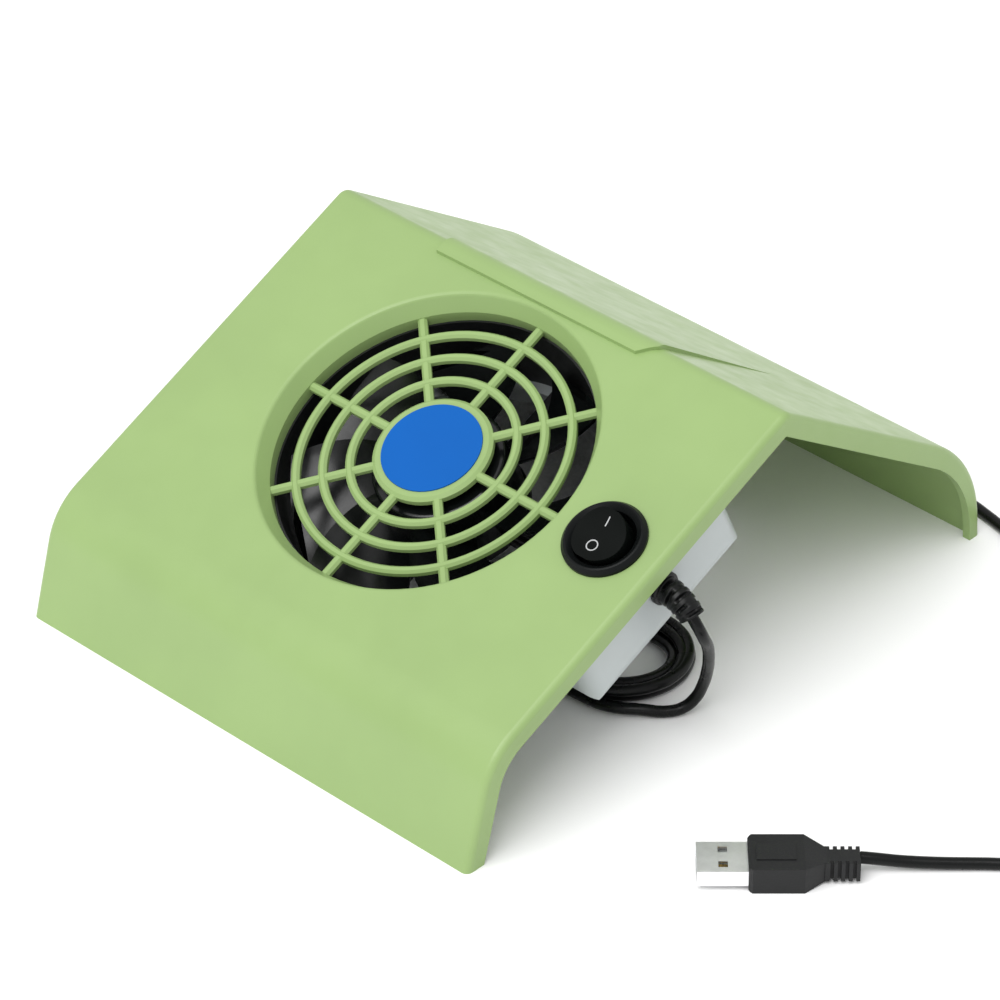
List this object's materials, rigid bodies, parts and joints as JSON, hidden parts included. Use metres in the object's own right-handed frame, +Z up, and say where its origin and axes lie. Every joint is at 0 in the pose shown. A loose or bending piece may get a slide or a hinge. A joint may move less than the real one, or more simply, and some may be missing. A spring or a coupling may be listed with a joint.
{
  "type": "nail dust collector",
  "caption": "Bridge-shaped table-top dust extractor for nail work: grille and axial fan in a sloped top, pouch underneath, rocker switch, corded low-voltage supply.",
  "frame": {"origin": "on the table at the middle of the shell's footprint", "axes": "+X along the ridge towards the switch end, +Y from the front foot to the back foot, +Z up"},
  "size_m": [0.2993, 0.2214, 0.0817],
  "materials": {
    "shell_plastic": "satin moulded, pale green",
    "label": "printed film, plain blue",
    "fan_plastic": "moulded, black",
    "blade_plastic": "glossy, black",
    "steel": "plain",
    "magnet": "bonded ferrite",
    "bronze": "sintered",
    "copper": "copper wire and strip",
    "board": "solder mask, green",
    "white_plastic": "smooth, white",
    "elastic": "woven elastic",
    "bag_fabric": "non-woven, white",
    "switch_plastic": "satin, black",
    "brass": "tinned",
    "lead_cover": "insulated leads",
    "cord_rubber": "satin, black",
    "tie_fabric": "woven strap",
    "plug_rubber": "matte, black",
    "plug_steel": "nickel plated",
    "gold": "gold plated"
  },
  "bodies": {
    "base": {"shell": "shell_plastic", "label_disc": "label", "fan_frame": "fan_plastic", "fan_bearing": "bronze", "stator_core": "steel", "stator_coils": "copper", "fan_board": "board", "fan_screws": "steel", "bag_collar": "white_plastic", "bag_elastic": "elastic", "dust_bag": "bag_fabric", "switch_body": "switch_plastic", "switch_terminals": "brass", "wiring_box": "white_plastic", "box_screws": "steel", "fan_leads": "lead_cover", "supply_leads": "lead_cover", "cord_boot": "cord_rubber", "cord_lead": "cord_rubber", "cord_coil": "cord_rubber", "cord_tie": "tie_fabric", "cord_tail": "cord_rubber", "plug_body": "plug_rubber", "plug_shell": "plug_steel", "plug_tongue": "white_plastic", "plug_contacts": "gold"},
    "rotor": {"fan_impeller": "blade_plastic", "rotor_yoke": "steel", "rotor_magnet": "magnet", "fan_shaft": "steel", "shaft_clip": "steel"},
    "rocker": {"switch_rocker": "switch_plastic"},
    "contact": {"contact_arm": "copper"}
  },
  "joints": [
    {"name": "fan_spin", "type": "hinge", "parent": "base", "child": "rotor", "pos_m": [-0.0015, -0.02254, 0.04065], "axis": [0, -0.4115, 0.9114], "continuous": true},
    {"name": "rocker_tilt", "type": "hinge", "parent": "base", "child": "rocker", "pos_m": [0.0625, -0.03155, 0.0572], "axis": [-1, 0, 0], "range_deg": [0, 22]},
    {"name": "contact_tilt", "type": "hinge", "parent": "base", "child": "contact", "pos_m": [0.0625, -0.02913, 0.05183], "axis": [1, 0, 0], "range_deg": [0, 16]}
  ],
  "couplings": [
    {"joint": "contact_tilt", "follows": "rocker_tilt", "ratio": 0.727}
  ]
}
